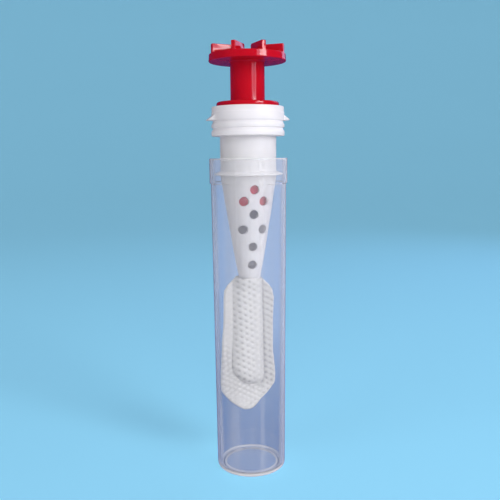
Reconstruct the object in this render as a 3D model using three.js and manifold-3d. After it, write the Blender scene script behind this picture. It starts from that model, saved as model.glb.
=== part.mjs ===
// A specimen swab tube. A clear flat-based tube is stopped by a white swab holder, whose ribbed head seals
// the mouth and whose perforated cone ends in a flat tongue. Two layers of knitted cloth, welded round their
// edge, are drawn over the tongue as the swab. A red winged plug closes the holder's bore.
// Millimetres, +Z up, origin at the centre of the tube's base, head lugs on X, swab faces on Y.
// The holder is drawn part-way out of the tube, which is how the object rests.
import * as THREE from "three";
import { mergeVertices } from "three/addons/utils/BufferGeometryUtils.js";
import Module from "manifold-3d";

const wasm = await Module();
wasm.setup();

const TURN_STEPS = 60; // facets round every revolved shape
const ARC_STEPS = 3; // facets in each rounded edge of a profile
const HALF_TURN = Math.PI;

// Tube: heights are above the base
const TUBE_HEIGHT = 103.6;
const COLLAR_HEIGHT = 8; // thicker band at the mouth
const COLLAR_R = 12.55;
const COLLAR_BORE_R = 11.85;
const BARREL_TOP_R = 12.15;
const BARREL_FOOT_R = 11.45;
const BARREL_BORE_TOP_R = 11.3;
const BARREL_BORE_FOOT_R = 10.45;
const TUBE_FLOOR = 1.2;
const TUBE_FOOT_ROUND = 1.2;
const TUBE_FLOOR_ROUND = 0.8;
const RIM_ROUND = 0.25;
const COLLAR_STEP = 0.25; // the collar's outer step is eased this far up and down
const COLLAR_BORE_TAPER = [0.5, -2.5]; // the bore narrows from above the step to below it

// Everything below is measured from the tube's rim, up positive, with the holder drawn part-way out.

// Holder head: a stepped top band over two sealing barbs, flat underneath and rounded in to a groove above
const HEAD_TOP = 16.1;
const HEAD_TOP_R = 11.5;
const HEAD_BAND_R = 11.6;
const HEAD_BAND_STEP = 14.3;
const HEAD_CHAMFER = 0.3;
const BARB_R = 11.7;
const GROOVE_R = 11.12;
const BARBS = [
  { foot: 7.0, shoulder: 8.1, top: 9.3 },
  { foot: 9.5, shoulder: 10.2, top: 11.5 },
];
const BARB_EDGE = 0.15;

// Holder head lugs, which stop on the tube's rim
const LUG_WIDTH = 6;
const LUG_REACH = 13;
const LUG_BOTTOM = 11.9;
const LUG_EDGE = 0.3;
const LUG_SLOPE = 0.75; // rise for each step inward

// Holder neck, guide flange and perforated cone
const NECK_R = 9;
const NECK_FILLET = 0.4;
const GUIDE_R = 10.95;
const GUIDE = [-5.6, -4.6];
const GUIDE_ROUND = 0.2;
const CONE_TOP = -6;
const CONE_TIP = -37.9;
const CONE_TIP_R = 3.5;
const CONE_TIP_ROUND = 0.3;
const HOLDER_WALL = 1.25;
const BORE_MOUTH_R = 7.9;
const BORE_FOOT = -35.4;
const DRAIN_HOLE_R = 1.45;
const DRAIN_PAIR_X = 3.1;
const DRAIN_ROWS = [
  { z: -9.8, x: [0] },
  { z: -13.4, x: [-DRAIN_PAIR_X, DRAIN_PAIR_X] },
  { z: -17.5, x: [0] },
  { z: -22.4, x: [-DRAIN_PAIR_X, DRAIN_PAIR_X] },
  { z: -28.0, x: [0] },
  { z: -34.0, x: [0] },
];

// Tongue that the cloth is drawn over: narrow in the cone's tip, and a little to one side below it
const TONGUE_TOP = -36.4;
const TONGUE_SHOULDER = -40.5;
const TONGUE_END = -74.9;
const TONGUE_MIDDLE = -0.7;
const TONGUE_TOP_HALF_WIDTH = 3.2;
const TONGUE_SHOULDER_HALF_WIDTH = 4.3;
const TONGUE_END_HALF_WIDTH = 4.9;
const TONGUE_THICKNESS = 3.2;
const TONGUE_BEVEL = 1;

// Plug: a winged knob on a stem, a flange that rests on the head, and a hollow plug in the holder's bore.
// The wings' outer edges carry on the knob's side, which flares a little at its lower edge.
const KNOB_BOTTOM = 30;
const KNOB_TOP = 32.2;
const KNOB_LOW_R = 12.25;
const KNOB_TOP_R = 12.1;
const KNOB_FLARE_TOP = 31;
const KNOB_EDGE = 0.2;
const WING_COUNT = 8;
const WING_TOP = 34.85;
const WING_THICKNESS = 1.4;
const WING_OUTER_R = 12.1;
const WING_TOP_R = 12;
const WING_INNER_R = 4;
const WING_INNER_CHAMFER = 0.4;
const WING_PHASE = (11.6 * Math.PI) / 180; // from +X to the first wing
const STEM_R = 5.45;
const STEM_BORE_R = 4;
const STEM_BORE_FOOT = 17.2;
const STEM_FILLET = 0.5;
const PLUG_FLANGE_R = 9.95;
const PLUG_FLANGE_TOP = 17.6;
const PLUG_FLANGE_ROUND = 0.75;
const PLUG_END = -14;
const PLUG_GAP = 0.3; // to the holder's bore
const PLUG_WALL = 1.3;
const PLUG_WEB = 15.8;

// Cloth: each layer is flat on the plane between the two, and swells over the tongue
const CLOTH_TOP = -38.4;
const CLOTH_TIP = -84.9;
const CLOTH_SWELL = 2.75; // out from the middle plane, over the tongue
const CLOTH_MARGIN = 0.95;
const CLOTH_EDGE = 0.5;
const CLOTH_EDGE_BAND = 0.9;
const CLOTH_HALF_WIDTH = 9.5;
const SWELL_TOP_HALF_WIDTH = 5.4;
const SWELL_END_HALF_WIDTH = 5.9;
const SWELL_ROUND_FROM = -71.5; // where the swell starts to fall to its round end
const SWELL_ROUND_LENGTH = 6;
const SWELL_POWER = 2.8; // 2 would be an ellipse, and more is squarer
const STITCH_X = 1.6; // between knit columns
const STITCH_Z = 2.07; // between pits in one column
const STITCH_RELIEF = 0.22;
const POCKET_GAP = 0.3; // round the tongue's edges

// A closed geometry as a manifold-3d solid.
function solidOf(geometry) {
  const bare = geometry.index ? geometry.toNonIndexed() : geometry.clone();
  bare.deleteAttribute("normal");
  bare.deleteAttribute("uv");
  const merged = mergeVertices(bare, 1e-4);
  return new wasm.Manifold(
    new wasm.Mesh({
      numProp: 3,
      vertProperties: merged.attributes.position.array,
      triVerts: new Uint32Array(merged.index.array),
    }),
  );
}

function geometryOf(solid) {
  const mesh = solid.getMesh();
  const geometry = new THREE.BufferGeometry();
  geometry.setAttribute("position", new THREE.BufferAttribute(mesh.vertProperties, 3));
  geometry.setIndex(new THREE.BufferAttribute(mesh.triVerts, 1));
  geometry.computeVertexNormals();
  return geometry;
}

// A profile of (radius, height) turned round Z.
function turned(profile) {
  return new THREE.LatheGeometry(profile, TURN_STEPS).rotateX(HALF_TURN / 2);
}

// A shape drawn in XZ, extruded to both sides of the plane y = 0.
function plate(shape, thickness, bevel = 0) {
  const geometry = new THREE.ExtrudeGeometry(shape, {
    depth: thickness - 2 * bevel,
    bevelEnabled: bevel > 0,
    bevelThickness: bevel,
    bevelSize: bevel,
    bevelOffset: -bevel,
    bevelSegments: 1,
    curveSegments: 8,
  });
  return geometry.translate(0, 0, bevel - thickness / 2).rotateX(HALF_TURN / 2);
}

// Radius of the cone's outside, and of the bore inside the neck and cone, at a height.
function coneRadius(z) {
  return THREE.MathUtils.mapLinear(z, CONE_TIP, CONE_TOP, CONE_TIP_R, NECK_R);
}

function boreRadius(z) {
  const foot = NECK_R - HOLDER_WALL;
  if (z < CONE_TOP) return coneRadius(z) - HOLDER_WALL;
  return THREE.MathUtils.mapLinear(z, CONE_TOP, HEAD_TOP, foot, BORE_MOUTH_R);
}

function tubeGeometry() {
  const shoulder = TUBE_HEIGHT - COLLAR_HEIGHT;
  const path = new THREE.Path()
    .moveTo(0, 0)
    .lineTo(BARREL_FOOT_R - TUBE_FOOT_ROUND, 0)
    .quadraticCurveTo(BARREL_FOOT_R, 0, BARREL_FOOT_R, TUBE_FOOT_ROUND)
    .lineTo(BARREL_TOP_R, shoulder - COLLAR_STEP)
    .lineTo(COLLAR_R, shoulder + COLLAR_STEP)
    .lineTo(COLLAR_R, TUBE_HEIGHT - RIM_ROUND)
    .quadraticCurveTo(COLLAR_R, TUBE_HEIGHT, COLLAR_R - RIM_ROUND, TUBE_HEIGHT)
    .lineTo(COLLAR_BORE_R + RIM_ROUND, TUBE_HEIGHT)
    .quadraticCurveTo(COLLAR_BORE_R, TUBE_HEIGHT, COLLAR_BORE_R, TUBE_HEIGHT - RIM_ROUND)
    .lineTo(COLLAR_BORE_R, shoulder + COLLAR_BORE_TAPER[0])
    .lineTo(BARREL_BORE_TOP_R, shoulder + COLLAR_BORE_TAPER[1])
    .lineTo(BARREL_BORE_FOOT_R, TUBE_FLOOR + TUBE_FLOOR_ROUND)
    .quadraticCurveTo(BARREL_BORE_FOOT_R, TUBE_FLOOR, BARREL_BORE_FOOT_R - TUBE_FLOOR_ROUND, TUBE_FLOOR)
    .lineTo(0, TUBE_FLOOR);
  return turned(path.getPoints(ARC_STEPS));
}

function lugShape() {
  const back = GROOVE_R - 1;
  const slopeFoot = LUG_BOTTOM + LUG_EDGE;
  return new THREE.Shape()
    .moveTo(back, LUG_BOTTOM)
    .lineTo(LUG_REACH, LUG_BOTTOM)
    .lineTo(LUG_REACH, slopeFoot)
    .lineTo(back, slopeFoot + LUG_SLOPE * (LUG_REACH - back))
    .closePath();
}

// The tongue's outline, or that of the pocket round it when it is grown by a gap.
function tongueShape(gap) {
  const topMiddle = (TONGUE_MIDDLE * TONGUE_TOP_HALF_WIDTH) / TONGUE_SHOULDER_HALF_WIDTH;
  const top = TONGUE_TOP_HALF_WIDTH + gap;
  const shoulder = TONGUE_SHOULDER_HALF_WIDTH + gap;
  const end = TONGUE_END_HALF_WIDTH + gap;
  const straightEnd = TONGUE_END + TONGUE_END_HALF_WIDTH;
  return new THREE.Shape()
    .moveTo(topMiddle - top, TONGUE_TOP + gap)
    .lineTo(TONGUE_MIDDLE - shoulder, TONGUE_SHOULDER)
    .lineTo(TONGUE_MIDDLE - end, straightEnd)
    .absellipse(TONGUE_MIDDLE, straightEnd, end, end, HALF_TURN, 2 * HALF_TURN, false)
    .lineTo(TONGUE_MIDDLE + shoulder, TONGUE_SHOULDER)
    .lineTo(topMiddle + top, TONGUE_TOP + gap)
    .closePath();
}

// Adds the barbs to a profile that comes up the neck: each is flat underneath, stands straight to its
// shoulder and rounds in to the groove above it.
function addBarbs(path) {
  for (const barb of BARBS) {
    path
      .lineTo(BARB_R - BARB_EDGE, barb.foot)
      .lineTo(BARB_R, barb.foot + BARB_EDGE)
      .lineTo(BARB_R, barb.shoulder)
      .quadraticCurveTo(BARB_R, barb.top - 0.3, GROOVE_R, barb.top);
  }
  return path;
}

function holderGeometry() {
  const neck = new THREE.Path()
    .moveTo(0, CONE_TIP)
    .lineTo(CONE_TIP_R - CONE_TIP_ROUND, CONE_TIP)
    .lineTo(coneRadius(CONE_TIP + CONE_TIP_ROUND), CONE_TIP + CONE_TIP_ROUND)
    .lineTo(NECK_R, CONE_TOP)
    .lineTo(NECK_R, GUIDE[0])
    .lineTo(GUIDE_R - GUIDE_ROUND, GUIDE[0])
    .lineTo(GUIDE_R, GUIDE[0] + GUIDE_ROUND)
    .lineTo(GUIDE_R, GUIDE[1] - GUIDE_ROUND)
    .lineTo(GUIDE_R - GUIDE_ROUND, GUIDE[1])
    .lineTo(NECK_R, GUIDE[1])
    .lineTo(NECK_R, BARBS[0].foot - NECK_FILLET)
    .lineTo(NECK_R + NECK_FILLET, BARBS[0].foot);
  const path = addBarbs(neck)
    .quadraticCurveTo(HEAD_BAND_R, BARBS[1].top + 0.2, HEAD_BAND_R, BARBS[1].top + 1)
    .lineTo(HEAD_BAND_R, HEAD_BAND_STEP)
    .lineTo(HEAD_TOP_R, HEAD_BAND_STEP + 0.1)
    .lineTo(HEAD_TOP_R, HEAD_TOP - HEAD_CHAMFER)
    .lineTo(HEAD_TOP_R - HEAD_CHAMFER, HEAD_TOP)
    .lineTo(BORE_MOUTH_R, HEAD_TOP)
    .lineTo(boreRadius(CONE_TOP), CONE_TOP)
    .lineTo(boreRadius(BORE_FOOT), BORE_FOOT)
    .lineTo(0, BORE_FOOT);
  let holder = solidOf(turned(path.getPoints(ARC_STEPS)));
  const lug = plate(lugShape(), LUG_WIDTH);
  holder = holder.add(solidOf(lug)).add(solidOf(lug.clone().rotateZ(HALF_TURN)));
  holder = holder.add(solidOf(plate(tongueShape(0), TONGUE_THICKNESS, TONGUE_BEVEL)));
  // the drain holes go through the front wall only
  for (const row of DRAIN_ROWS) {
    for (const x of row.x) {
      const pin = new THREE.CylinderGeometry(DRAIN_HOLE_R, DRAIN_HOLE_R, 2 * NECK_R, 20);
      holder = holder.subtract(solidOf(pin.translate(x, -NECK_R, row.z)));
    }
  }
  return geometryOf(holder);
}

// One wing, drawn on +X: its foot is inside the knob, its outer edge carries on the knob's side, and its
// inner top corner is cut.
function wingGeometry() {
  const foot = KNOB_BOTTOM + 0.2;
  const shape = new THREE.Shape()
    .moveTo(WING_INNER_R + 0.1, foot)
    .lineTo(WING_OUTER_R, foot)
    .lineTo(WING_OUTER_R, KNOB_TOP)
    .lineTo(WING_TOP_R, WING_TOP)
    .lineTo(WING_INNER_R + WING_INNER_CHAMFER, WING_TOP)
    .lineTo(WING_INNER_R + 0.1, WING_TOP - WING_INNER_CHAMFER)
    .closePath();
  return plate(shape, WING_THICKNESS);
}

function plugGeometry() {
  const plugRadius = (z) => boreRadius(z) - PLUG_GAP;
  const path = new THREE.Path()
    .moveTo(0, PLUG_WEB)
    .lineTo(plugRadius(CONE_TOP) - PLUG_WALL, PLUG_WEB)
    .lineTo(plugRadius(CONE_TOP) - PLUG_WALL, CONE_TOP)
    .lineTo(plugRadius(PLUG_END) - PLUG_WALL, PLUG_END)
    .lineTo(plugRadius(PLUG_END), PLUG_END)
    .lineTo(plugRadius(CONE_TOP), CONE_TOP)
    .lineTo(plugRadius(HEAD_TOP), HEAD_TOP)
    .lineTo(PLUG_FLANGE_R, HEAD_TOP)
    .lineTo(PLUG_FLANGE_R, PLUG_FLANGE_TOP - PLUG_FLANGE_ROUND)
    .quadraticCurveTo(PLUG_FLANGE_R, PLUG_FLANGE_TOP, PLUG_FLANGE_R - PLUG_FLANGE_ROUND, PLUG_FLANGE_TOP)
    .lineTo(STEM_R + STEM_FILLET, PLUG_FLANGE_TOP)
    .quadraticCurveTo(STEM_R, PLUG_FLANGE_TOP, STEM_R, PLUG_FLANGE_TOP + STEM_FILLET)
    .lineTo(STEM_R, KNOB_BOTTOM - STEM_FILLET)
    .quadraticCurveTo(STEM_R, KNOB_BOTTOM, STEM_R + STEM_FILLET, KNOB_BOTTOM)
    .lineTo(KNOB_LOW_R - KNOB_EDGE, KNOB_BOTTOM)
    .lineTo(KNOB_LOW_R, KNOB_BOTTOM + KNOB_EDGE)
    .quadraticCurveTo(KNOB_TOP_R, KNOB_BOTTOM + KNOB_EDGE, KNOB_TOP_R, KNOB_FLARE_TOP)
    .lineTo(KNOB_TOP_R, KNOB_TOP - KNOB_EDGE)
    .lineTo(KNOB_TOP_R - KNOB_EDGE, KNOB_TOP)
    .lineTo(STEM_BORE_R, KNOB_TOP)
    .lineTo(STEM_BORE_R, STEM_BORE_FOOT)
    .lineTo(0, STEM_BORE_FOOT);
  let plug = solidOf(turned(path.getPoints(ARC_STEPS)));
  for (let i = 0; i < WING_COUNT; i++) {
    const turn = WING_PHASE + (i * 2 * HALF_TURN) / WING_COUNT;
    plug = plug.add(solidOf(wingGeometry().rotateZ(turn)));
  }
  return geometryOf(plug);
}

// The cloth's cut outline: round shoulders, sides that spread below, and a blunt point a little to one side.
function clothShape() {
  return new THREE.Shape()
    .moveTo(-4.6, CLOTH_TOP)
    .quadraticCurveTo(-8.6, CLOTH_TOP - 1.4, -8.85, -45.5)
    .lineTo(-9.05, -53.5)
    .quadraticCurveTo(-9.5, -59, -9.8, -66)
    .quadraticCurveTo(-10.1, -71, -10.15, -75.5)
    .quadraticCurveTo(-10.1, -78.2, -8.2, -80.5)
    .lineTo(-5.2, -83)
    .quadraticCurveTo(-1.9, CLOTH_TIP - 1.6, 1.3, -83.3)
    .lineTo(6.9, -76.6)
    .quadraticCurveTo(8.5, -75, 8.5, -73)
    .quadraticCurveTo(8.3, -68, 7.75, -63)
    .lineTo(7.85, -53.5)
    .lineTo(8.1, -46)
    .quadraticCurveTo(7.8, CLOTH_TOP - 1.4, 3.9, CLOTH_TOP)
    .closePath();
}

// How far the cloth's face stands out from the middle plane: a round swell over the tongue, flat margins, and
// pits where the knit's loops meet, every second place.
function clothHeight(x, z, column, row) {
  const down = (CLOTH_TOP - z) / (CLOTH_TOP - TONGUE_END);
  const halfWidth = THREE.MathUtils.lerp(SWELL_TOP_HALF_WIDTH, SWELL_END_HALF_WIDTH, down);
  const across = Math.abs(x - TONGUE_MIDDLE) / halfWidth;
  const pastEnd = Math.max(0, SWELL_ROUND_FROM - z) / SWELL_ROUND_LENGTH;
  const reach = Math.min(1, Math.hypot(across, pastEnd));
  const swell = Math.sqrt(1 - reach ** SWELL_POWER);
  const pit = (column + row) % 2 === 0 ? 1 : 0;
  return THREE.MathUtils.lerp(CLOTH_MARGIN, CLOTH_SWELL, swell) - pit * STITCH_RELIEF;
}

// One layer: side is -1 for the layer on -Y and 1 for the layer on +Y.
function clothLayer(side) {
  const stepZ = STITCH_Z / 2;
  const columns = 14;
  const rows = Math.ceil((CLOTH_TOP - CLOTH_TIP) / stepZ) + 2;
  const slab = new THREE.BoxGeometry(columns * STITCH_X, 2, rows * stepZ, columns, 1, rows);
  slab.translate(0, 0, CLOTH_TOP + stepZ - (rows * stepZ) / 2);
  const place = slab.attributes.position;
  for (let i = 0; i < place.count; i++) {
    const x = place.getX(i);
    const z = place.getZ(i);
    const column = Math.round(x / STITCH_X) + columns;
    const row = Math.round((CLOTH_TOP + stepZ - z) / stepZ);
    if (Math.sign(place.getY(i)) === side) place.setY(i, side * clothHeight(x, z, column, row));
  }
  const weld = plate(clothShape(), CLOTH_EDGE).translate(0, (side * CLOTH_EDGE) / 2, 0);
  const cutOut = solidOf(weld).add(solidOf(insetBody().translate(0, side * CLOTH_SWELL, 0)));
  const pocket = solidOf(plate(tongueShape(POCKET_GAP), TONGUE_THICKNESS, TONGUE_BEVEL));
  return geometryOf(solidOf(slab).intersect(cutOut).subtract(pocket));
}

// The cloth's outline drawn in by the welded band, thick enough to hold the whole swell.
function insetBody() {
  const middle = (CLOTH_TOP + CLOTH_TIP) / 2;
  const halfHeight = (CLOTH_TOP - CLOTH_TIP) / 2;
  return plate(clothShape(), 2 * CLOTH_SWELL)
    .translate(0, 0, -middle)
    .scale(1 - CLOTH_EDGE_BAND / CLOTH_HALF_WIDTH, 1, 1 - CLOTH_EDGE_BAND / halfHeight)
    .translate(0, 0, middle);
}

function material(color, roughness, opacity = 1) {
  const transparent = opacity < 1;
  return new THREE.MeshStandardMaterial({ color, roughness, metalness: 0, opacity, transparent });
}

function part(name, geometry, finish) {
  const mesh = new THREE.Mesh(geometry, finish);
  mesh.name = name;
  return mesh;
}

const clearPlastic = material(0xdfe6f5, 0.08, 0.35);
const whitePlastic = material(0xf3f2f4, 0.38);
const redPlastic = material(0xc8101c, 0.18);
const knittedCloth = material(0xf4f3ef, 0.95);

const holder = new THREE.Group();
holder.position.z = TUBE_HEIGHT;
holder.add(part("swab_holder", holderGeometry(), whitePlastic));
holder.add(part("swab_front_cloth", clothLayer(-1), knittedCloth));
holder.add(part("swab_back_cloth", clothLayer(1), knittedCloth));
holder.add(part("winged_plug", plugGeometry(), redPlastic));

const specimenTube = new THREE.Group();
specimenTube.add(part("tube", tubeGeometry(), clearPlastic), holder);

export default specimenTube;
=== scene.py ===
"""A specimen swab tube: a clear flat-based tube, a white swab holder, a cloth swab and a red winged plug.

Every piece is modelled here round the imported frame, whose nodes it then stands for. Lengths are in metres,
worked out from millimetres, and heights marked "above the rim" count from the tube's mouth, up positive.
"""

import math

import bpy
import numpy as np
from mathutils import Matrix, Vector


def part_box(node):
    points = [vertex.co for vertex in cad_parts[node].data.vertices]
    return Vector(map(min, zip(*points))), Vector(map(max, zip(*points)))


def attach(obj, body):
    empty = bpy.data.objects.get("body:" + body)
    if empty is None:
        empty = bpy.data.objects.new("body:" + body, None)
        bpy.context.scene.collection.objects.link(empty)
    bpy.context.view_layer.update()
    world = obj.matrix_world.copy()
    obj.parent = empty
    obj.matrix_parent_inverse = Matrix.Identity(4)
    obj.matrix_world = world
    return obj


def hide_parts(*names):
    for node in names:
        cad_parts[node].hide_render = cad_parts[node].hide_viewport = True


MM = 0.001
SIDES = 128  # steps round a spun shape
ARC_STEPS = 5  # steps in each rounded edge of a profile
MERGE = 1e-6  # points closer than this are one point

# The swab, in millimetres, with heights above the rim
CLOTH_TOP = -38.6
CLOTH_TIP = -83.9
CLOTH_THICKNESS = 0.4
STITCH_ACROSS = 1.6  # from one column of stitches to the next
STITCH_DOWN = 2.07  # from one stitch to the next below it

# Camera, in front of the tube and a little to its left, level with the rim and pitched down
VIEW_TURN = math.radians(-13.2)
VIEW_PITCH = math.radians(8.2)
VIEW_ROLL = math.radians(-0.6)
VIEW_DISTANCE = 207.3 * MM
VIEW_SIDE = 0.25 * MM
LENS = 45.9
SENSOR = 36

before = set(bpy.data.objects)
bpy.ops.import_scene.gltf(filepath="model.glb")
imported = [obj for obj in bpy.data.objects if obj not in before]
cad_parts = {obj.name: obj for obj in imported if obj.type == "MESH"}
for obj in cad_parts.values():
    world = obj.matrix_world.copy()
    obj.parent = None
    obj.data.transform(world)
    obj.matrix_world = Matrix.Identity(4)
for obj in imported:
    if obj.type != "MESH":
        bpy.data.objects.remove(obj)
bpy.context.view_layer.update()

TUBE_LOW, TUBE_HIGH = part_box("tube")
PLUG_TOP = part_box("winged_plug")[1].z
LUG_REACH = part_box("swab_holder")[1].x
RIM = TUBE_HIGH.z


# ---------------------------------------------------------------- small helpers


def clear_selection():
    if bpy.context.object and bpy.context.object.mode != "OBJECT":
        bpy.ops.object.mode_set(mode="OBJECT")
    bpy.ops.object.select_all(action="DESELECT")


def choose(obj):
    clear_selection()
    obj.select_set(True)
    bpy.context.view_layer.objects.active = obj


def edit(obj):
    choose(obj)
    bpy.ops.object.mode_set(mode="EDIT")
    bpy.ops.mesh.select_all(action="SELECT")


def done():
    bpy.ops.object.mode_set(mode="OBJECT")


def pick(obj, kind, wanted):
    """Goes into edit mode with only the wanted faces or edges selected. kind is FACE or EDGE."""
    edit(obj)
    bpy.ops.mesh.select_mode(type=kind)
    bpy.ops.mesh.select_all(action="DESELECT")
    done()
    for part in obj.data.polygons if kind == "FACE" else obj.data.edges:
        part.select = wanted(part)
    choose(obj)
    bpy.ops.object.mode_set(mode="EDIT")


def settle(obj):
    """Puts an object's place into its mesh, so that the object sits at the origin."""
    choose(obj)
    bpy.ops.object.transform_apply(location=True, rotation=True, scale=True)


def merge_and_face_out(obj):
    edit(obj)
    bpy.ops.mesh.remove_doubles(threshold=MERGE)
    bpy.ops.mesh.normals_make_consistent(inside=False)
    done()


def smooth(obj, angle=35):
    choose(obj)
    bpy.ops.object.shade_smooth_by_angle(angle=math.radians(angle))


def fillet(corners):
    """A profile of (radius, height, rounding) corners in millimetres, as points with each corner rounded."""
    points = []
    for i, (r, z, rounding) in enumerate(corners):
        here = Vector((r, z))
        if rounding == 0 or i in (0, len(corners) - 1):
            points.append(here)
            continue
        before = Vector(corners[i - 1][:2]) - here
        after = Vector(corners[i + 1][:2]) - here
        half = before.angle(after) / 2
        reach = min(rounding / math.tan(half), 0.49 * before.length, 0.49 * after.length)
        start, end = here + before.normalized() * reach, here + after.normalized() * reach
        for step in range(ARC_STEPS + 1):
            t = step / ARC_STEPS
            # a quadratic arc, tangent to both sides
            points.append(start * (1 - t) ** 2 + here * 2 * t * (1 - t) + end * t**2)
    return points


def spun(name, corners, base=0.0):
    """Draws a profile by extruding one vertex from point to point, and spins it round the tube's axis."""
    points = [Vector((p.x * MM, p.y * MM + base)) for p in fillet(corners)]
    clear_selection()
    bpy.ops.mesh.primitive_plane_add(size=MM, location=(0, 0, 0))
    obj = bpy.context.object
    obj.name = obj.data.name = name
    bpy.ops.object.mode_set(mode="EDIT")
    bpy.ops.mesh.select_mode(type="VERT")
    bpy.ops.mesh.select_all(action="SELECT")
    bpy.ops.mesh.merge(type="CENTER")
    bpy.ops.transform.translate(value=(points[0].x, 0, points[0].y))
    for here, there in zip(points, points[1:]):
        step = there - here
        bpy.ops.mesh.extrude_vertices_move(TRANSFORM_OT_translate={"value": (step.x, 0, step.y)})
    bpy.ops.mesh.select_all(action="SELECT")
    bpy.ops.mesh.spin(steps=SIDES, angle=math.tau, center=(0, 0, 0), axis=(0, 0, 1))
    done()
    merge_and_face_out(obj)
    return obj


def block(name, low, high):
    """A box between two corners, in metres, as the start of a shape."""
    low, high = Vector(low), Vector(high)
    clear_selection()
    bpy.ops.mesh.primitive_cube_add(size=1, location=(low + high) / 2)
    obj = bpy.context.object
    obj.name = obj.data.name = name
    obj.scale = high - low
    settle(obj)
    return obj


def slice_off(obj, point, normal):
    """Cuts away what lies beyond a plane, and closes the cut."""
    edit(obj)
    bpy.ops.mesh.bisect(plane_co=point, plane_no=normal, use_fill=True, clear_outer=True)
    done()


def apply_modifier(obj, kind, **settings):
    choose(obj)
    modifier = obj.modifiers.new(kind.title(), kind)
    for key, value in settings.items():
        setattr(modifier, key, value)
    bpy.ops.object.modifier_apply(modifier=modifier.name)


def ease_edges(obj, width, segments=2, angle=40):
    apply_modifier(
        obj,
        "BEVEL",
        width=width,
        segments=segments,
        limit_method="ANGLE",
        angle_limit=math.radians(angle),
        harden_normals=False,
    )


def combine(target, tool, operation):
    """Joins a solid to another, or cuts it out, and removes the tool."""
    apply_modifier(target, "BOOLEAN", object=tool, operation=operation, solver="EXACT")
    bpy.data.objects.remove(tool)


def turned_copy(obj, name, angle):
    """A copy with its own mesh, turned round the tube's axis."""
    copy = obj.copy()
    copy.data = obj.data.copy()
    copy.name = copy.data.name = name
    bpy.context.scene.collection.objects.link(copy)
    copy.rotation_euler.z = angle
    settle(copy)
    return copy


def place_in_frame(obj, body, slot, material, *nodes):
    obj.data.materials.clear()
    obj.data.materials.append(material)
    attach(obj, body)
    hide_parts(*nodes)


# ---------------------------------------------------------------- materials


def linear(hex_colour):
    """An sRGB hex value as the linear RGBA that Blender's sockets hold."""
    channels = [int(hex_colour[i : i + 2], 16) / 255 for i in (0, 2, 4)]
    return [c / 12.92 if c <= 0.04045 else ((c + 0.055) / 1.055) ** 2.4 for c in channels] + [1]


def new_material(name):
    material = bpy.data.materials.new(name)
    material.use_nodes = True
    material.node_tree.nodes.clear()
    return material


def node(owner, kind, links=None, **settings):
    """Adds a node to a material or the world. settings are its properties or its sockets' values, and links
    feed its sockets."""
    made = owner.node_tree.nodes.new(kind)
    for key, value in settings.items():
        if hasattr(made, key):
            setattr(made, key, value)
        else:
            made.inputs[key.replace("_", " ")].default_value = value
    for socket, source in (links or {}).items():
        owner.node_tree.links.new(source, made.inputs[socket])
    return made


def per_metre(size):
    """A pattern's scale: how many of its spots, each of this size in millimetres, go to a metre."""
    return 1 / (size * MM)


def white_polyethylene():
    """Polyethylene, moulded, satin. Milky: light goes a little way in, so edges glow and shadows are
    soft."""
    m = new_material("white_polyethylene_moulded")
    place = node(m, "ShaderNodeTexCoord").outputs["Object"]
    # the melt cooled unevenly, in patches of about 4 mm
    patches = per_metre(3.846)
    flow = node(m, "ShaderNodeTexNoise", {"Vector": place}, Scale=patches, Detail=3.0).outputs["Fac"]
    tint = node(m, "ShaderNodeMix", {"Factor": flow}, data_type="RGBA")
    tint.inputs[6].default_value = linear("EFEEF1")
    tint.inputs[7].default_value = linear("F7F6F8")
    roughness = node(m, "ShaderNodeMapRange", {"Value": flow}, To_Min=0.34, To_Max=0.46).outputs["Result"]
    # the satin grain that the mould leaves is too fine to show, so it is drawn coarser
    satin = per_metre(0.3846)
    grain = node(m, "ShaderNodeTexNoise", {"Vector": place}, Scale=satin, Detail=2.0).outputs["Fac"]
    bump = node(m, "ShaderNodeBump", {"Height": grain}, Strength=0.12, Distance=0.03 * MM)
    surface = node(
        m,
        "ShaderNodeBsdfPrincipled",
        {"Base Color": tint.outputs[2], "Roughness": roughness, "Normal": bump.outputs[0]},
        IOR=1.51,
    )
    surface.inputs["Subsurface Weight"].default_value = 0.9
    surface.inputs["Subsurface Radius"].default_value = (1.0, 0.97, 0.94)
    surface.inputs["Subsurface Scale"].default_value = 2.4 * MM
    node(m, "ShaderNodeOutputMaterial", {"Surface": surface.outputs[0]})
    return m


def red_polypropylene():
    """Polypropylene, moulded against a polished tool. Deep red with sharp highlights, faintly rippled."""
    m = new_material("red_polypropylene_moulded")
    place = node(m, "ShaderNodeTexCoord").outputs["Object"]
    # the melt cooled unevenly, in patches of about 6 mm
    patches = per_metre(5.556)
    flow = node(m, "ShaderNodeTexNoise", {"Vector": place}, Scale=patches, Detail=3.0).outputs["Fac"]
    tint = node(m, "ShaderNodeMix", {"Factor": flow}, data_type="RGBA")
    tint.inputs[6].default_value = linear("BE0C1C")
    tint.inputs[7].default_value = linear("CC1222")
    roughness = node(m, "ShaderNodeMapRange", {"Value": flow}, To_Min=0.06, To_Max=0.11).outputs["Result"]
    ripples = per_metre(2.381)
    ripple = node(m, "ShaderNodeTexNoise", {"Vector": place}, Scale=ripples, Detail=1.0).outputs["Fac"]
    bump = node(m, "ShaderNodeBump", {"Height": ripple}, Strength=0.1, Distance=0.06 * MM)
    surface = node(
        m,
        "ShaderNodeBsdfPrincipled",
        {"Base Color": tint.outputs[2], "Roughness": roughness, "Normal": bump.outputs[0]},
        IOR=1.5,
    )
    surface.inputs["Subsurface Weight"].default_value = 0.08
    surface.inputs["Subsurface Radius"].default_value = (1.0, 0.2, 0.15)
    surface.inputs["Subsurface Scale"].default_value = 0.6 * MM
    node(m, "ShaderNodeOutputMaterial", {"Surface": surface.outputs[0]})
    return m


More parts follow.
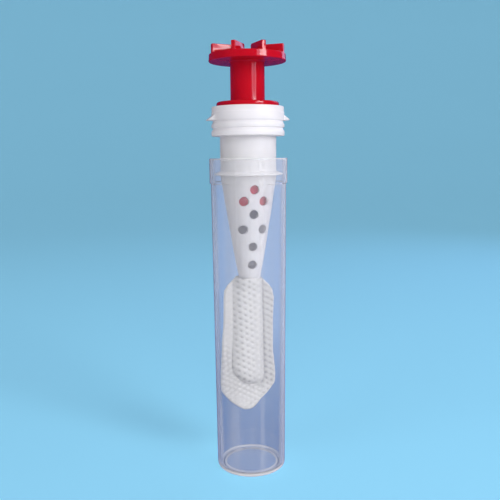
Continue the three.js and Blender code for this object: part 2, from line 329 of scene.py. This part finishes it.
def clear_polystyrene():
    """Polystyrene, moulded clear. Nearly colourless, so it takes the tone of the paper behind it, with a
    slight milky haze from the resin that is whitest at the rim and foot. It lets the lamps through to the
    swab, as thin clear plastic does."""
    m = new_material("clear_polystyrene_moulded")
    place = node(m, "ShaderNodeTexCoord").outputs["Object"]
    # ripples about 3 mm across, drawn out eight times as long up the wall
    stretched = node(m, "ShaderNodeMapping", {"Vector": place}, Scale=(1, 1, 0.12))
    across = per_metre(3.333)
    streaks = node(m, "ShaderNodeTexNoise", {"Vector": stretched.outputs[0]}, Scale=across, Detail=3.0)
    ripple = node(m, "ShaderNodeBump", {"Height": streaks.outputs["Fac"]}, Strength=0.15, Distance=0.04 * MM)
    # the resin is whitest round the mouth, and where the wall turns into the floor
    height = node(m, "ShaderNodeSeparateXYZ", {"Vector": place}).outputs["Z"]
    up = node(m, "ShaderNodeMapRange", {"Value": height}, From_Min=0.0, From_Max=RIM).outputs["Result"]
    clarity = node(m, "ShaderNodeValToRGB", {"Fac": up})
    stops = clarity.color_ramp.elements
    stops[0].position, stops[0].color = 0.0, (0.95, 0.95, 0.95, 1)
    stops[1].position, stops[1].color = 1.0, (0.35, 0.35, 0.35, 1)
    for position, value in ((0.9, 0.92), (0.93, 0.87), (0.995, 0.85)):
        stops.new(position).color = (value, value, value, 1)
    on_floor = node(m, "ShaderNodeVectorMath", {0: place}, operation="MULTIPLY")
    on_floor.inputs[1].default_value = (1, 1, 0)
    outward = node(m, "ShaderNodeVectorMath", {0: on_floor.outputs[0]}, operation="LENGTH").outputs["Value"]
    # two faint rings and the outer edge, in the floor only
    low_down = node(m, "ShaderNodeMapRange", {"Value": height}, From_Min=1.6 * MM, From_Max=1.1 * MM)
    at_radius = node(m, "ShaderNodeMapRange", {"Value": outward}, From_Max=12.5 * MM)
    rings = node(m, "ShaderNodeValToRGB", {"Fac": at_radius.outputs["Result"]})
    bands = rings.color_ramp.elements
    bands[0].color, bands[1].color = (0, 0, 0, 1), (1, 1, 1, 1)
    for position, value in (
        (0.67, 0),
        (0.685, 1),
        (0.715, 1),
        (0.73, 0),
        (0.765, 0),
        (0.78, 1),
        (0.8, 1),
        (0.815, 0),
        (0.87, 0),
        (0.9, 1),
    ):
        bands.new(position).color = (value, value, value, 1)
    foot = node(
        m,
        "ShaderNodeMath",
        {0: rings.outputs["Color"], 1: low_down.outputs["Result"]},
        operation="MULTIPLY",
    )
    # flow lines in the resin run up the wall, about 3 mm apart, where the wall's radius counts as 1
    around = node(m, "ShaderNodeVectorMath", {0: on_floor.outputs[0]}, operation="NORMALIZE").outputs[0]
    to_a_radius = TUBE_HIGH.x * per_metre(3.138)
    flow = node(m, "ShaderNodeTexNoise", {"Vector": around}, Scale=to_a_radius, Detail=1.5).outputs["Fac"]
    line = node(m, "ShaderNodeMapRange", {"Value": flow}, From_Min=0.5, From_Max=0.75, To_Max=0.14)
    # seen edge on, the wall is deeper, so its haze shows as a light band down each side
    turned = node(m, "ShaderNodeLayerWeight", Blend=0.5).outputs["Facing"]
    edge_on = node(m, "ShaderNodeMapRange", {"Value": turned}, From_Min=0.5, From_Max=0.85)
    milky = node(
        m,
        "ShaderNodeMath",
        {0: foot.outputs[0], 1: edge_on.outputs["Result"]},
        operation="MAXIMUM",
    )
    milky = node(m, "ShaderNodeMath", {0: milky.outputs[0], 1: line.outputs["Result"]}, operation="MAXIMUM")
    left_clear = node(m, "ShaderNodeMapRange", {"Value": milky.outputs[0]}, To_Min=1.0, To_Max=0.3)
    clear = node(
        m,
        "ShaderNodeMath",
        {0: clarity.outputs["Color"], 1: left_clear.outputs["Result"]},
        operation="MULTIPLY",
    )
    hazy = node(
        m,
        "ShaderNodeBsdfPrincipled",
        {"Transmission Weight": clear.outputs[0], "Normal": ripple.outputs[0]},
        Roughness=0.03,
        IOR=1.5,
    )
    hazy.inputs["Base Color"].default_value = linear("EFEFF0")
    through = node(m, "ShaderNodeBsdfTransparent")
    through.inputs["Color"].default_value = linear("F6F6F5")
    lamp_ray = node(m, "ShaderNodeLightPath").outputs["Is Shadow Ray"]
    surface = node(m, "ShaderNodeMixShader", {0: lamp_ray, 1: hazy.outputs[0], 2: through.outputs[0]})
    node(m, "ShaderNodeOutputMaterial", {"Surface": surface.outputs[0]})
    return m


def knitted_polyester():
    """Undyed polyester yarn, knitted. Bright and matt, with a fuzz of fine fibres, and painted grey shade in
    the pits between strands and in the crease beside the tongue. The welded rim has no pits."""
    m = new_material("knitted_polyester")
    place = node(m, "ShaderNodeTexCoord").outputs["Object"]
    depth = node(m, "ShaderNodeAttribute", attribute_name="knit_painted_lightness").outputs["Fac"]
    # single fibres are too fine to show, so they are drawn several times as thick
    fibres, strands = per_metre(0.1923), per_metre(1.4286)
    fibre = node(m, "ShaderNodeTexNoise", {"Vector": place}, Scale=fibres, Detail=4.0).outputs["Fac"]
    patch = node(m, "ShaderNodeTexNoise", {"Vector": place}, Scale=strands, Detail=2.0).outputs["Fac"]
    yarn = node(m, "ShaderNodeMix", {"Factor": patch}, data_type="RGBA")
    yarn.inputs[6].default_value = linear("E0E0E0")
    yarn.inputs[7].default_value = linear("F5F5F2")
    # painted shade: the yarn greys towards 808080 where the cloth's attribute is low
    shaded = node(m, "ShaderNodeMix", {"Factor": depth, "B": yarn.outputs[2]}, data_type="RGBA")
    shaded.inputs[6].default_value = linear("808080")
    bump = node(m, "ShaderNodeBump", {"Height": fibre}, Strength=0.6, Distance=0.1 * MM)
    surface = node(
        m,
        "ShaderNodeBsdfPrincipled",
        {"Base Color": shaded.outputs[2], "Normal": bump.outputs[0]},
        Roughness=0.85,
    )
    surface.inputs["Sheen Weight"].default_value = 0.25
    surface.inputs["Sheen Roughness"].default_value = 0.5
    node(m, "ShaderNodeOutputMaterial", {"Surface": surface.outputs[0]})
    return m


def studio_paper():
    """Seamless backdrop paper, plain pale blue to the eye. Through the clear tube it is a lavender blue that
    takes no lamp's shadow, but a painted shadow deepens it close to the foot; in gloss it is a deeper blue.
    The light that it sends back onto the object is a neutral pale grey, so that white plastic stays white."""
    m = new_material("studio_paper")
    path = node(m, "ShaderNodeLightPath")
    # direct is 1 on a ray from the eye that has met no matt surface on its way
    direct = node(m, "ShaderNodeMath", {0: path.outputs["Diffuse Depth"]}, operation="LESS_THAN")
    direct.inputs[1].default_value = 0.5
    in_gloss = node(
        m,
        "ShaderNodeMath",
        {0: path.outputs["Is Glossy Ray"], 1: direct.outputs[0]},
        operation="MULTIPLY",
    )
    in_tube = node(
        m,
        "ShaderNodeMath",
        {0: path.outputs["Is Transmission Ray"], 1: direct.outputs[0]},
        operation="MULTIPLY",
    )
    to_eye = path.outputs["Is Camera Ray"]
    tone = node(m, "ShaderNodeMix", {"Factor": in_gloss.outputs[0]}, data_type="RGBA")
    tone.inputs[6].default_value = linear("EAEAEC")
    tone.inputs[7].default_value = linear("4050AC")
    tone = node(m, "ShaderNodeMix", {"Factor": to_eye, "A": tone.outputs[2]}, data_type="RGBA")
    tone.inputs[7].default_value = linear("90D4F2")
    paper = node(m, "ShaderNodeBsdfDiffuse", {"Color": tone.outputs[2]})
    lift = node(m, "ShaderNodeMapRange", {"Value": to_eye}, To_Max=0.3)
    glow = node(m, "ShaderNodeEmission", {"Color": tone.outputs[2], "Strength": lift.outputs["Result"]})
    both = node(m, "ShaderNodeAddShader", {0: paper.outputs[0], 1: glow.outputs[0]})
    # through the tube the paper is deeper close to the foot: a painted shadow of the part
    place = node(m, "ShaderNodeTexCoord").outputs["Object"]
    away = node(m, "ShaderNodeVectorMath", {0: place}, operation="LENGTH").outputs["Value"]
    away = node(m, "ShaderNodeMapRange", {"Value": away}, From_Min=0.02, From_Max=0.2).outputs["Result"]
    seen_through_painted_shadow = node(m, "ShaderNodeMix", {"Factor": away}, data_type="RGBA")
    # the painted shadow's deep colour, close to the foot
    seen_through_painted_shadow.inputs[6].default_value = linear("688EC8")
    seen_through_painted_shadow.inputs[7].default_value = linear("A4CCFF")
    even = node(m, "ShaderNodeEmission", {"Color": seen_through_painted_shadow.outputs[2]})
    surface = node(m, "ShaderNodeMixShader", {0: in_tube.outputs[0], 1: both.outputs[0], 2: even.outputs[0]})
    node(m, "ShaderNodeOutputMaterial", {"Surface": surface.outputs[0]})
    return m


# ---------------------------------------------------------------- the pieces


def make_tube():
    """One clear moulding: tapered barrel, flat floor, and a thicker collar at the mouth, whose bore narrows
    gently below the collar."""
    height = (TUBE_HIGH.z - TUBE_LOW.z) / MM
    collar_r = TUBE_HIGH.x / MM
    shoulder = height - 8
    return spun(
        "clear_tube",
        [
            (0, 0.2, 0),
            (8.7, 0.2, 0.1),
            (8.9, 0, 0.1),
            (11.45, 0, 1.3),
            (12.15, shoulder - 0.15, 0.1),
            (collar_r, shoulder + 0.15, 0.1),
            (collar_r, height, 0.3),
            (11.85, height, 0.3),
            (11.8, height - 5, 6),
            (11.3, height - 12, 8),
            (10.45, 1.4, 0.5),
            (9.9, 1.2, 0.2),
            (0, 1.2, 0),
        ],
    )


def make_holder():
    """One white moulding: ribbed head with two lugs, neck, guide flange, perforated cone and tongue."""
    holder = spun(
        "swab_holder_moulding",
        [
            (0, -38.9, 0),
            (3.45, -38.9, 0.3),
            (4.95, -31, 4),
            (9.0, -6.0, 1.5),
            (9.0, -5.7, 0.1),
            (10.95, -5.4, 0.15),
            (11.0, -4.95, 0.15),
            (9.0, -4.3, 0.6),
            (9.0, 7.0, 0.4),
            (11.62, 7.0, 0.15),
            (11.7, 8.3, 0.9),
            (11.12, 9.3, 0.12),
            (11.2, 9.45, 0.05),
            (11.62, 9.6, 0.2),
            (11.66, 10.4, 0.8),
            (11.12, 11.5, 0.12),
            (11.2, 11.62, 0.05),
            (11.52, 11.9, 0.4),
            (11.6, 12.8, 0.6),
            (11.6, 14.25, 0.12),
            (11.5, 14.4, 0.08),
            (11.5, 16.1, 0.3),
            (7.9, 16.1, 0.4),
            (7.75, -6.0, 1.5),
            (2.67, -35.4, 0.8),
            (0, -35.4, 0),
        ],
        RIM,
    )
    # each lug starts as a block whose top is sliced to a ramp; pushed home, they stop on the tube's rim
    lug_low, lug_top = RIM + 11.9 * MM, RIM + 14.2 * MM
    lug = block("lug", (10 * MM, -3 * MM, lug_low), (LUG_REACH, 3 * MM, lug_top))
    slice_off(lug, (LUG_REACH, 0, lug_low + 0.3 * MM), (0.75, 0, 1))
    ease_edges(lug, 0.12 * MM)
    opposite = turned_copy(lug, "opposite_lug", math.pi)
    combine(holder, lug, "UNION")
    combine(holder, opposite, "UNION")
    combine(holder, make_tongue(), "UNION")
    # drain holes through the cone's front wall, one or two to a height above the rim
    one, two = (0,), (-3.1, 3.1)
    for height, places in ((-9.8, one), (-13.4, two), (-17.5, one), (-22.4, two), (-28, one), (-34, one)):
        for x in places:
            clear_selection()
            bpy.ops.mesh.primitive_cylinder_add(
                vertices=40,
                radius=1.45 * MM,
                depth=14 * MM,
                location=(x * MM, -7 * MM, RIM + height * MM),
                rotation=(math.pi / 2, 0, 0),
            )
            pin = bpy.context.object
            settle(pin)
            combine(holder, pin, "DIFFERENCE")
    return holder


def make_tongue():
    """The flat tongue: narrow where it leaves the cone, widening downwards, with a round end and well
    rounded edges."""
    top, shoulder, end = RIM - 36.4 * MM, RIM - 42 * MM, RIM - 73.6 * MM
    middle, half_depth = -0.8 * MM, 1.6 * MM
    # half widths in millimetres at those three heights
    at_top, at_shoulder, at_end = 2.4, 4.3, 4.7
    tongue = block(
        "tongue",
        (middle - at_shoulder * MM, -half_depth, shoulder),
        (middle + at_shoulder * MM, half_depth, top),
    )

    def is_foot_corner(edge):
        ends = [tongue.data.vertices[i].co for i in edge.vertices]
        across = abs(ends[0].y - ends[1].y) > MM
        return across and max(e.z for e in ends) < end + MM

    pick(tongue, "FACE", lambda face: face.normal.z < -0.9)
    bpy.ops.mesh.extrude_region_move(TRANSFORM_OT_translate={"value": (0, 0, end - shoulder)})
    bpy.ops.transform.resize(value=(at_end / at_shoulder, 1, 1), center_override=(middle, 0, end))
    pick(tongue, "FACE", lambda face: face.normal.z > 0.9)
    bpy.ops.transform.resize(value=(at_top / at_shoulder, 1, 1), center_override=(0, 0, top))
    pick(tongue, "EDGE", is_foot_corner)
    bpy.ops.mesh.bevel(offset=at_end * MM, segments=12, affect="EDGES")
    done()
    ease_edges(tongue, 1.1 * MM, 5)
    return tongue


def make_plug():
    """One red moulding: winged knob, stem, flange and hollow plug. The wings' outer edges carry on the
    knob's side, which flares a little at its lower edge."""
    plug = spun(
        "winged_plug_moulding",
        [
            (0, 15.8, 0),
            (6.0, 15.8, 0.5),
            (6.1, -6.0, 1),
            (4.6, -15.2, 0.3),
            (5.85, -15.2, 0.6),
            (7.4, -6.0, 1.5),
            (7.6, 16.1, 0.15),
            (9.95, 16.1, 0.1),
            (9.95, 17.6, 0.8),
            (5.45, 17.6, 0.6),
            (5.45, 30, 0.5),
            (12.25, 30, 0.25),
            (12.12, 30.9, 0.5),
            (12.08, 32.2, 0.25),
            (4.0, 32.2, 0.3),
            (4.0, 17.2, 0.5),
            (0, 17.2, 0),
        ],
        RIM,
    )
    foot, inner_r, outer_r, half_thickness = RIM + 30.6 * MM, 4.05 * MM, 12.1 * MM, 0.7 * MM
    wing = block("wing", (inner_r, -half_thickness, foot), (outer_r, half_thickness, PLUG_TOP))
    # a chamfer at the bore, and an outer edge that leans in a little
    slice_off(wing, (inner_r, 0, PLUG_TOP - 0.4 * MM), (-1, 0, 1))
    slice_off(wing, (outer_r, 0, foot), (1, 0, 0.025))
    ease_edges(wing, 0.18 * MM, 3)
    first, wings = math.radians(11.6), 8
    for i in range(wings):
        combine(plug, turned_copy(wing, f"wing_{i}", first + i * math.tau / wings), "UNION")
    bpy.data.objects.remove(wing)
    return plug


def cloth_edges(z):
    """Left and right edge of the cloth's cut outline at a height above the rim, all in millimetres."""
    # heights and edges, from the tip up
    left_cut = (
        (-83.9, -1.9),
        (-83.7, -2.5),
        (-83.1, -3.6),
        (-81.8, -5.4),
        (-80.6, -6.9),
        (-78.5, -8.7),
        (-76.6, -9.85),
        (-74.0, -9.95),
        (-68.0, -9.7),
        (-60.0, -9.3),
        (-53.5, -8.75),
        (-46.0, -8.6),
        (-43.0, -8.45),
        (-41.2, -7.4),
        (-39.8, -6.0),
        (-38.6, -4.35),
    )
    right_cut = (
        (-83.9, -0.6),
        (-83.7, 0.0),
        (-83.1, 1.2),
        (-81.8, 2.35),
        (-80.6, 3.25),
        (-78.5, 5.6),
        (-76.5, 7.25),
        (-75.3, 8.15),
        (-73.5, 8.4),
        (-71.5, 8.4),
        (-64.0, 7.6),
        (-53.5, 7.65),
        (-46.0, 8.0),
        (-43.0, 7.45),
        (-41.2, 6.1),
        (-39.8, 4.6),
        (-38.6, 3.2),
    )
    return [np.interp(z, *zip(*cut)) for cut in (left_cut, right_cut)]


def on_lattice(x, z, slip):
    """Where places in millimetres lie from the nearest stitch, across and up. The stitches stand in leaning
    columns, each a half step down from the last. slip moves them all down by a part of a step."""
    lean = math.radians(3)
    across = (x * math.cos(lean) + z * math.sin(lean)) / STITCH_ACROSS
    along = (z * math.cos(lean) - x * math.sin(lean)) / STITCH_DOWN + slip
    first, second = along + across / 2, along - across / 2
    first, second = first - np.round(first), second - np.round(second)
    return (first - second) * STITCH_ACROSS, (first + second) / 2 * STITCH_DOWN


def spots(x, z, slip, fall, length, width):
    """Soft oval spots, 1 at the middle, one to a stitch, stretched along a line that falls to the right."""
    side, up = on_lattice(x, z, slip)
    fall = math.radians(-fall)
    along = (side * math.cos(fall) + up * math.sin(fall)) / length
    across = (up * math.cos(fall) - side * math.sin(fall)) / width
    return np.exp(-(along**2) - across**2)


def smoothstep(value, low, high):
    t = np.clip((value - low) / (high - low), 0, 1)
    return t * t * (3 - 2 * t)


def swell_over_tongue(x, z, low):
    """How the cloth swells over the tongue: how far out on the swell each place is, 1 at its foot, how high
    it stands in millimetres, and the crease at its foot, 0 to 1. It is round from side to side, rises over
    the cone's tip at the top, and ends in a round shoulder past the tongue's end that is lower on the
    right. low is 1 near the tip."""
    middle = -1.0
    half_width = 4.7 + 0.5 * (CLOTH_TOP - z) / 36
    from_middle = (x - middle) / half_width
    past_end = np.clip((-70.2 - z - 0.36 * (x - middle)) / 4.7, 0, 1.5)
    reach = np.sqrt(from_middle**2 + past_end**2)
    # the swell's sides are steep, but soft on the upper left and at the end
    on_left, at_end = smoothstep(-x, -1, 2), np.clip(past_end, 0, 1)
    softness = 0.6 + 0.5 * on_left * (1 - low) + at_end * (0.9 - 0.7 * on_left)
    dome = (1 - np.clip(reach, 0, 1) ** 2.4) ** softness
    over_tip = 0.9 * smoothstep(z, -43, -38.8)
    # the layers meet in a crease beside the tongue, which is faint on the right and the upper left
    crease_width = 0.06 + 0.1 * (1 - on_left)
    crease = np.exp(-(((reach - 1.04) / crease_width) ** 2)) * (1 - on_left * (1 - low))
    crease *= 1 - (0.35 + 0.5 * at_end) * (1 - on_left)
    return reach, (2.3 + over_tip) * dome, crease


def knit(x, z, low, margin):
    """The knit's relief in millimetres, inwards, and its painted shade, 0 to 1, for how deep or stretched it
    looks. margin is 1 on the flat margin and low is 1 near the tip."""
    # pits are deep on the left, faint on the stretched right and in the margin, and worn here and there
    worn = 0.8 + 0.2 * np.sin(2.3 * x + 1.1 * z) * np.sin(0.9 * x - 1.7 * z)
    left_half = smoothstep(-x, -1.8 - 1.5 * smoothstep(z, -46, -41), 1.0)
    right_low = smoothstep(x, 2, 5) * smoothstep(-z, 70, 76)
    kept = (0.12 + 0.88 * left_half) * (1 - margin) + (0.12 + 0.2 * low + 0.5 * right_low) * margin
    pit = spots(x, z, 0, 35, 0.46, 0.36) * worn * kept
    # strands show as raised bright dashes between the pits, each with a painted highlight, and as sunken
    # streaks in the right margin with painted shade in them
    dash = spots(x, z, 0.5, 5, 0.55, 0.28) * worn * (1 - 0.6 * margin)
    right_margin = margin * smoothstep(x, 1, 4) * (1 - smoothstep(-z, 74, 78))
    streak = spots(x, z, 0.25, 35, 1.1, 0.42) * worn * right_margin
    # the left and low margins are mottled with bright loops
    away_from_right = 1 - smoothstep(x, 3, 5) * (1 - smoothstep(-z, 76, 79))
    left_margin = margin * (0.3 + 0.7 * low) * away_from_right
    loops = spots(1.2 * x, 1.2 * z, 0.3, -8, 0.62, 0.36) * left_margin
    # the white is painted greyer, as shade, where the knit is stretched thin: over the right half of the
    # swell and in the margins
    thin_left = 0.2 - 0.12 * smoothstep(-z, 76, 80)
    thin = 0.12 * (1 - left_half) * (1 - margin) + 0.2 * right_margin + thin_left * left_margin
    relief = 0.3 * pit - 0.12 * dash - 0.1 * loops + 0.12 * streak
    # shade is the knit's painted shade: grey in the pits and streaks and on stretched knit, lighter at the
    # dashes' painted highlights and on the mottled loops
    shade = 0.9 * pit + 0.4 * streak + thin - 0.12 * dash - 0.32 * loops
    return relief, shade


def make_cloth(name, side):
    """One layer of the swab: a grid cut to the outline, swelled over the tongue, and pitted as the knit is.
    side is -1 for the front layer and 1 for the back."""
    columns, rows = ((144, 340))
    clear_selection()
    bpy.ops.mesh.primitive_grid_add(x_subdivisions=columns, y_subdivisions=rows, size=2)
    cloth = bpy.context.object
    cloth.name = cloth.data.name = name
    points = np.empty(len(cloth.data.vertices) * 3, np.float32)
    cloth.data.vertices.foreach_get("co", points)
    points = points.reshape(-1, 3)
    z = CLOTH_TOP + (CLOTH_TIP - CLOTH_TOP) * (1 - points[:, 1]) / 2
    left, right = cloth_edges(z)
    x = left + (right - left) * (1 + points[:, 0]) / 2
    to_edge = np.minimum(np.minimum(x - left, right - x), z - CLOTH_TIP)
    low = smoothstep(-z, 58, 68)
    reach, swell, crease = swell_over_tongue(x, z, low)
    margin = smoothstep(reach, 0.95, 1.08)
    relief, shade = knit(x, z, low, margin)
    # the layers meet along the rim; the cloth's thickness is added outside the front and inside the back
    rim_gap, margin_rise = 0.03, 0.35
    rim = rim_gap if side < 0 else rim_gap + CLOTH_THICKNESS
    body = smoothstep(to_edge, 0, 0.4)
    height = rim + body * (margin_rise + swell - (relief + 0.16 * crease))
    placed = np.stack([x * MM, side * height * MM, z * MM + RIM], axis=1)
    cloth.data.vertices.foreach_set("co", placed.astype(np.float32).ravel())
    # the yarn's colour takes painted shade from this attribute, 1 where there is none: grey in the pits,
    # streaks and stretched knit, and in the crease beside the tongue
    knit_painted_lightness = cloth.data.attributes.new("knit_painted_lightness", "FLOAT", "POINT")
    depth = body * np.clip(shade + 0.5 * crease, 0, 1)
    knit_painted_lightness.data.foreach_set("value", (1 - depth).astype(np.float32))
    cloth.data.update()
    if side < 0:
        edit(cloth)
        bpy.ops.mesh.flip_normals()
        done()
    apply_modifier(cloth, "SOLIDIFY", thickness=CLOTH_THICKNESS * MM, offset=side)
    smooth(cloth, 60)
    return cloth


# ---------------------------------------------------------------- building it


def build_object():
    tube = make_tube()
    smooth(tube, 30)
    place_in_frame(tube, "tube", "clear_plastic", clear_polystyrene(), "tube")
    holder = make_holder()
    smooth(holder, 35)
    place_in_frame(holder, "holder", "white_plastic", white_polyethylene(), "swab_holder")
    plug = make_plug()
    smooth(plug, 35)
    place_in_frame(plug, "plug", "red_plastic", red_polypropylene(), "winged_plug")
    cloth_material = knitted_polyester()
    for name, side, cad_node in (
        ("front_knit", -1, "swab_front_cloth"),
        ("back_knit", 1, "swab_back_cloth"),
    ):
        cloth = make_cloth(name, side)
        place_in_frame(cloth, "holder", "knitted_cloth", cloth_material, cad_node)


def build_studio():
    # the floor curves up into a wall 1.5 m away
    away, curve = 1500, 1050
    paper = spun("studio_sweep", [(0, 0, 0), (away, 0, curve), (away, away, 0)])
    paper.data.materials.append(studio_paper())
    smooth(paper, 60)
    world = bpy.data.worlds.new("soft_room")
    bpy.context.scene.world = world
    world.use_nodes = True
    background = world.node_tree.nodes["Background"]
    background.inputs["Color"].default_value = linear("ECECEF")
    # the room is dimmer in gloss than in the soft light that it gives
    in_gloss = node(world, "ShaderNodeLightPath").outputs["Is Glossy Ray"]
    strength = node(world, "ShaderNodeMapRange", {"Value": in_gloss}, To_Min=0.36, To_Max=0.18)
    world.node_tree.links.new(strength.outputs["Result"], background.inputs["Strength"])
    # the key's lower edge is above the stem's mirror line, so that only the wings mirror it
    key = soft_lamp("key", 35, 24, distance=0.6, size=(0.2, 0.3), watts=1.6, colour="FFFAF8")
    key.visible_transmission = False
    # a dim window of two panes, which the stem mirrors
    soft_lamp("left_pane", 22, 17, distance=0.7, size=(0.16, 0.34), watts=0.5, colour="DEE6FF")
    soft_lamp("right_pane", 40, 17, distance=0.7, size=(0.16, 0.34), watts=0.5, colour="DEE6FF")
    soft_lamp("rim", 125, 25, distance=0.6, size=(0.24, 0.32), watts=0.42, colour="CCD2FF")
    front = soft_lamp("front", -10, 6, distance=0.7, size=(0.4, 0.3), watts=0.95, colour="FFFEF4")
    fill = soft_lamp("fill", -65, 35, distance=0.8, size=(0.4, 0.4), watts=0.95, colour="FCFAFF")
    front.visible_glossy = fill.visible_glossy = False


def soft_lamp(name, azimuth, elevation, distance, size, watts, colour):
    """A softbox that faces the plug's stem. Azimuth 0 is straight in front, and 90 is on +X."""
    stem_middle = Vector((0, 0, RIM + 24 * MM))
    turn, rise = math.radians(azimuth), math.radians(elevation)
    lamp = bpy.data.objects.new(name, bpy.data.lights.new(name, "AREA"))
    bpy.context.scene.collection.objects.link(lamp)
    lamp.data.shape = "RECTANGLE"
    lamp.data.size, lamp.data.size_y = size
    lamp.data.energy = watts
    lamp.data.color = linear(colour)[:3]
    back = Vector((math.sin(turn) * math.cos(rise), -math.cos(turn) * math.cos(rise), math.sin(rise)))
    lamp.location = stem_middle + back * distance
    lamp.rotation_euler = back.to_track_quat("Z", "Y").to_euler()
    return lamp


def build_camera():
    camera = bpy.data.objects.new("camera", bpy.data.cameras.new("camera"))
    bpy.context.scene.collection.objects.link(camera)
    camera.data.lens = LENS
    camera.data.sensor_width = SENSOR
    camera.data.clip_start, camera.data.clip_end = 0.01, 20
    stand = Vector((math.sin(VIEW_TURN), -math.cos(VIEW_TURN), 0)) * VIEW_DISTANCE
    right = Vector((math.cos(VIEW_TURN), math.sin(VIEW_TURN), 0))
    turn = (
        Matrix.Rotation(VIEW_TURN, 4, "Z")
        @ Matrix.Rotation(math.pi / 2 - VIEW_PITCH, 4, "X")
        @ Matrix.Rotation(VIEW_ROLL, 4, "Z")
    )
    camera.matrix_world = Matrix.Translation(stand + right * VIEW_SIDE + Vector((0, 0, RIM))) @ turn
    bpy.context.scene.camera = camera


build_camera()
build_object()
build_studio()
bpy.context.scene.view_settings.view_transform = "Standard"
